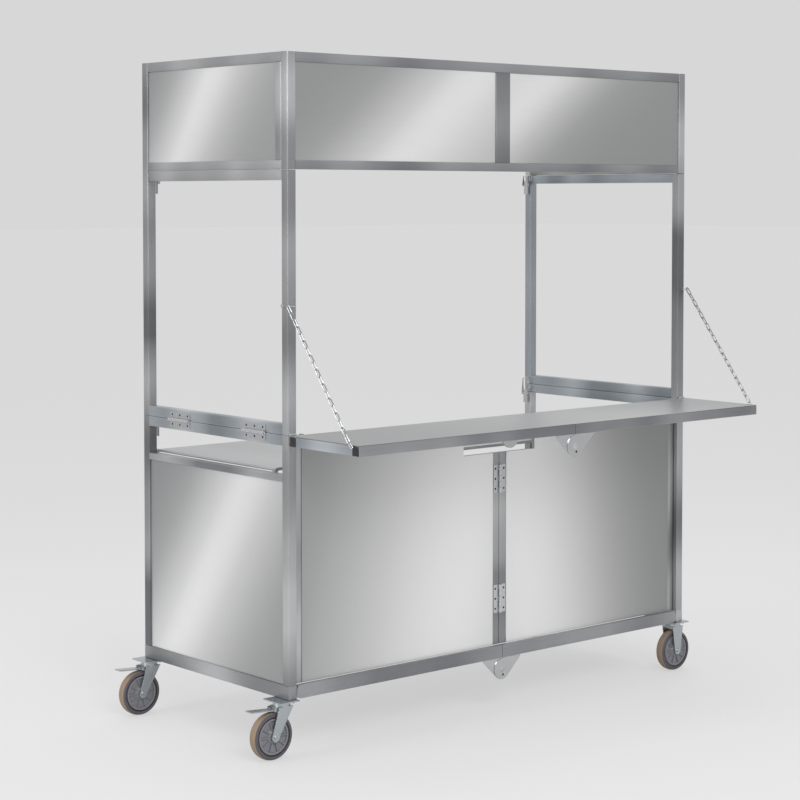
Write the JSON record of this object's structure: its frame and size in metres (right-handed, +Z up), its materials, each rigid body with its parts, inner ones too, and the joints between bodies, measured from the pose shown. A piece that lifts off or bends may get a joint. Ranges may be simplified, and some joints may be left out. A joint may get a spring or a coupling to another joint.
{
  "type": "folding food stall cart",
  "caption": "Folding stainless stall on casters: end frames, a folding front and counter, a front shelf hung on chains, and a lift-off canopy",
  "frame": {"origin": "middle of the bounding box's footprint, on the floor under the wheels", "axes": "+X from the left end with the brake pedals to the right end, +Y from the shelf at the front to the open rear, +Z up"},
  "size_m": [1.768, 1.012, 1.92],
  "materials": {
    "frame_tube": "brushed stainless tube",
    "sheet": "brushed stainless sheet",
    "zinc": "zinc-plated pressed steel",
    "bright": "bright galvanised steel",
    "tyre": "dull rubber tread",
    "hub": "grey moulded plastic"
  },
  "bodies": {
    "base": {"left_lower_frame": "frame_tube", "left_lower_panel": "sheet", "left_front_caster_plate": "zinc", "left_rear_caster_plate": "zinc"},
    "right_end": {"right_lower_frame": "frame_tube", "right_lower_panel": "sheet", "right_front_caster_plate": "zinc", "right_rear_caster_plate": "zinc", "right_front_caster_fork": "zinc", "right_rear_caster_fork": "zinc"},
    "canopy": {"canopy_frame": "frame_tube", "canopy_roof": "sheet", "canopy_left_front_panel": "sheet", "canopy_right_front_panel": "sheet", "canopy_left_end_panel": "sheet", "canopy_right_end_panel": "sheet"},
    "floor_left": {"left_front_floor_rail": "frame_tube", "left_rear_floor_rail": "frame_tube", "left_floor_disc_plate": "bright"},
    "leaf_left": {"left_leaf_frame": "frame_tube", "left_leaf_panel": "sheet"},
    "flap_left": {"left_counter_flap": "sheet"},
    "upper_left": {"left_upper_frame": "frame_tube"},
    "chain_left": {"left_chain": "bright"},
    "hanger_left": {"left_shelf_hanger": "bright"},
    "shelf_left": {"left_shelf_frame": "frame_tube", "left_shelf_disc_plate": "bright", "left_shelf_sheet": "sheet"},
    "left_lower_lever": {"left_lower_latch_lever": "bright"},
    "left_lower_loop": {"left_lower_latch_loop": "bright"},
    "left_upper_lever": {"left_upper_latch_lever": "bright"},
    "left_upper_loop": {"left_upper_latch_loop": "bright"},
    "left_front_wheel": {"left_front_wheel_hub": "hub", "left_front_wheel_tyre": "tyre"},
    "left_front_swivel": {"left_front_caster_fork": "zinc"},
    "left_front_pedal": {"left_front_brake_pedal": "zinc"},
    "left_rear_wheel": {"left_rear_wheel_hub": "hub", "left_rear_wheel_tyre": "tyre"},
    "left_rear_swivel": {"left_rear_caster_fork": "zinc"},
    "left_rear_pedal": {"left_rear_brake_pedal": "zinc"},
    "floor_right": {"right_front_floor_rail": "frame_tube", "right_rear_floor_rail": "frame_tube", "right_floor_disc_plate": "bright"},
    "leaf_right": {"right_leaf_frame": "frame_tube", "right_leaf_panel": "sheet"},
    "flap_right": {"right_counter_flap": "sheet"},
    "upper_right": {"right_upper_frame": "frame_tube"},
    "chain_right": {"right_chain": "bright"},
    "hanger_right": {"right_shelf_hanger": "bright"},
    "shelf_right": {"right_shelf_frame": "frame_tube", "right_shelf_disc_plate": "bright", "right_shelf_sheet": "sheet"},
    "right_lower_lever": {"right_lower_latch_lever": "bright"},
    "right_lower_loop": {"right_lower_latch_loop": "bright"},
    "right_upper_lever": {"right_upper_latch_lever": "bright"},
    "right_upper_loop": {"right_upper_latch_loop": "bright"},
    "right_front_wheel": {"right_front_wheel_hub": "hub", "right_front_wheel_tyre": "tyre"},
    "right_rear_wheel": {"right_rear_wheel_hub": "hub", "right_rear_wheel_tyre": "tyre"}
  },
  "joints": [
    {"name": "base_fold", "type": "hinge", "parent": "base", "child": "floor_left", "pos_m": [-0.723, -0.206, 0.184], "axis": [0, 1, 0], "range_deg": [-84, 0]},
    {"name": "floor_right_fold", "type": "hinge", "parent": "floor_left", "child": "floor_right", "pos_m": [0.032, -0.206, 0.126], "axis": [0, 1, 0], "range_deg": [0, 168]},
    {"name": "right_end_fold", "type": "hinge", "parent": "floor_right", "child": "right_end", "pos_m": [0.787, -0.206, 0.184], "axis": [0, 1, 0], "range_deg": [-84, 0]},
    {"name": "leaf_left_fold", "type": "hinge", "parent": "base", "child": "leaf_left", "pos_m": [-0.723, -0.1383, 0.16], "axis": [0, 0, 1], "range_deg": [0, 84]},
    {"name": "leaf_right_fold", "type": "hinge", "parent": "leaf_left", "child": "leaf_right", "pos_m": [0.032, -0.1963, 0.16], "axis": [0, 0, 1], "range_deg": [-168, 0]},
    {"name": "flap_left_fold", "type": "hinge", "parent": "base", "child": "flap_left", "pos_m": [-0.732, -0.206, 0.7776], "axis": [0, 1, 0], "range_deg": [-84, 0]},
    {"name": "flap_right_fold", "type": "hinge", "parent": "right_end", "child": "flap_right", "pos_m": [0.796, -0.206, 0.7776], "axis": [0, 1, 0], "range_deg": [0, 84]},
    {"name": "hanger_left_fold", "type": "hinge", "parent": "base", "child": "hanger_left", "pos_m": [-0.723, -0.206, 0.878], "axis": [0, 1, 0], "range_deg": [-84, 0]},
    {"name": "hanger_right_fold", "type": "hinge", "parent": "right_end", "child": "hanger_right", "pos_m": [0.787, -0.206, 0.878], "axis": [0, 1, 0], "range_deg": [0, 84]},
    {"name": "shelf_flip", "type": "hinge", "parent": "hanger_left", "child": "shelf_left", "pos_m": [-0.768, -0.2096, 0.8854], "axis": [-1, 0, 0], "range_deg": [0, 90]},
    {"name": "shelf_right_fold", "type": "hinge", "parent": "shelf_left", "child": "shelf_right", "pos_m": [0.032, -0.206, 0.82], "axis": [0, 1, 0], "range_deg": [0, 168]},
    {"name": "upper_left_fold", "type": "hinge", "parent": "base", "child": "upper_left", "pos_m": [-0.774, -0.206, 0.88315], "axis": [0, -1, 0], "range_deg": [0, 180]},
    {"name": "chain_left_swing", "type": "hinge", "parent": "upper_left", "child": "chain_left", "pos_m": [-0.774, -0.215, 1.233], "axis": [1, 0, 0], "range_deg": [0, 45]},
    {"name": "left_lower_latch", "type": "hinge", "parent": "base", "child": "left_lower_lever", "pos_m": [-0.732, 0.48, 0.859], "axis": [0, -1, 0], "range_deg": [0, 110]},
    {"name": "left_lower_loop_tilt", "type": "hinge", "parent": "left_lower_lever", "child": "left_lower_loop", "pos_m": [-0.728, 0.48, 0.852], "axis": [0, -1, 0], "range_deg": [-110, 0]},
    {"name": "left_upper_latch", "type": "hinge", "parent": "upper_left", "child": "left_upper_lever", "pos_m": [-0.732, 0.48, 1.5775], "axis": [0, -1, 0], "range_deg": [0, 110]},
    {"name": "left_upper_loop_tilt", "type": "hinge", "parent": "left_upper_lever", "child": "left_upper_loop", "pos_m": [-0.728, 0.48, 1.5705], "axis": [0, -1, 0], "range_deg": [-110, 0]},
    {"name": "upper_right_fold", "type": "hinge", "parent": "right_end", "child": "upper_right", "pos_m": [0.838, -0.206, 0.88315], "axis": [0, 1, 0], "range_deg": [0, 180]},
    {"name": "chain_right_swing", "type": "hinge", "parent": "upper_right", "child": "chain_right", "pos_m": [0.838, -0.215, 1.233], "axis": [1, 0, 0], "range_deg": [0, 45]},
    {"name": "right_lower_latch", "type": "hinge", "parent": "right_end", "child": "right_lower_lever", "pos_m": [0.796, 0.48, 0.859], "axis": [0, 1, 0], "range_deg": [0, 110]},
    {"name": "right_lower_loop_tilt", "type": "hinge", "parent": "right_lower_lever", "child": "right_lower_loop", "pos_m": [0.792, 0.48, 0.852], "axis": [0, 1, 0], "range_deg": [-110, 0]},
    {"name": "right_upper_latch", "type": "hinge", "parent": "upper_right", "child": "right_upper_lever", "pos_m": [0.796, 0.48, 1.5775], "axis": [0, 1, 0], "range_deg": [0, 110]},
    {"name": "right_upper_loop_tilt", "type": "hinge", "parent": "right_upper_lever", "child": "right_upper_loop", "pos_m": [0.792, 0.48, 1.5705], "axis": [0, 1, 0], "range_deg": [-110, 0]},
    {"name": "canopy_lift", "type": "slide", "parent": "base", "child": "canopy", "axis": [0, 0, 1], "range_m": [0, 0.3]},
    {"name": "left_front_caster_swivel", "type": "hinge", "parent": "base", "child": "left_front_swivel", "pos_m": [-0.772, -0.178, 0.16], "axis": [0, 0, 1], "continuous": true},
    {"name": "left_front_brake", "type": "hinge", "parent": "left_front_swivel", "child": "left_front_pedal", "pos_m": [-0.802, -0.178, 0.136], "axis": [0, -1, 0], "range_deg": [0, 8]},
    {"name": "left_front_wheel_spin", "type": "hinge", "parent": "left_front_swivel", "child": "left_front_wheel", "pos_m": [-0.808, -0.178, 0.065], "axis": [0, 1, 0], "continuous": true},
    {"name": "left_rear_caster_swivel", "type": "hinge", "parent": "base", "child": "left_rear_swivel", "pos_m": [-0.772, 0.466, 0.16], "axis": [0, 0, 1], "continuous": true},
    {"name": "left_rear_brake", "type": "hinge", "parent": "left_rear_swivel", "child": "left_rear_pedal", "pos_m": [-0.802, 0.466, 0.136], "axis": [0, -1, 0], "range_deg": [0, 8]},
    {"name": "left_rear_wheel_spin", "type": "hinge", "parent": "left_rear_swivel", "child": "left_rear_wheel", "pos_m": [-0.808, 0.466, 0.065], "axis": [0, 1, 0], "continuous": true},
    {"name": "right_front_wheel_spin", "type": "hinge", "parent": "right_end", "child": "right_front_wheel", "pos_m": [0.819, -0.178, 0.065], "axis": [0, 1, 0], "continuous": true},
    {"name": "right_rear_wheel_spin", "type": "hinge", "parent": "right_end", "child": "right_rear_wheel", "pos_m": [0.819, 0.466, 0.065], "axis": [0, 1, 0], "continuous": true}
  ],
  "couplings": [
    {"joint": "floor_right_fold", "follows": "base_fold", "ratio": -2},
    {"joint": "right_end_fold", "follows": "base_fold", "ratio": 1},
    {"joint": "leaf_left_fold", "follows": "base_fold", "ratio": -1},
    {"joint": "leaf_right_fold", "follows": "base_fold", "ratio": 2},
    {"joint": "flap_left_fold", "follows": "base_fold", "ratio": 1},
    {"joint": "flap_right_fold", "follows": "base_fold", "ratio": -1},
    {"joint": "hanger_left_fold", "follows": "base_fold", "ratio": 1},
    {"joint": "hanger_right_fold", "follows": "base_fold", "ratio": -1},
    {"joint": "shelf_right_fold", "follows": "base_fold", "ratio": -2},
    {"joint": "chain_left_swing", "follows": "shelf_flip", "ratio": 0.5},
    {"joint": "left_lower_loop_tilt", "follows": "left_lower_latch", "ratio": -1},
    {"joint": "left_upper_loop_tilt", "follows": "left_upper_latch", "ratio": -1},
    {"joint": "chain_right_swing", "follows": "shelf_flip", "ratio": 0.5},
    {"joint": "right_lower_loop_tilt", "follows": "right_lower_latch", "ratio": -1},
    {"joint": "right_upper_loop_tilt", "follows": "right_upper_latch", "ratio": -1}
  ]
}
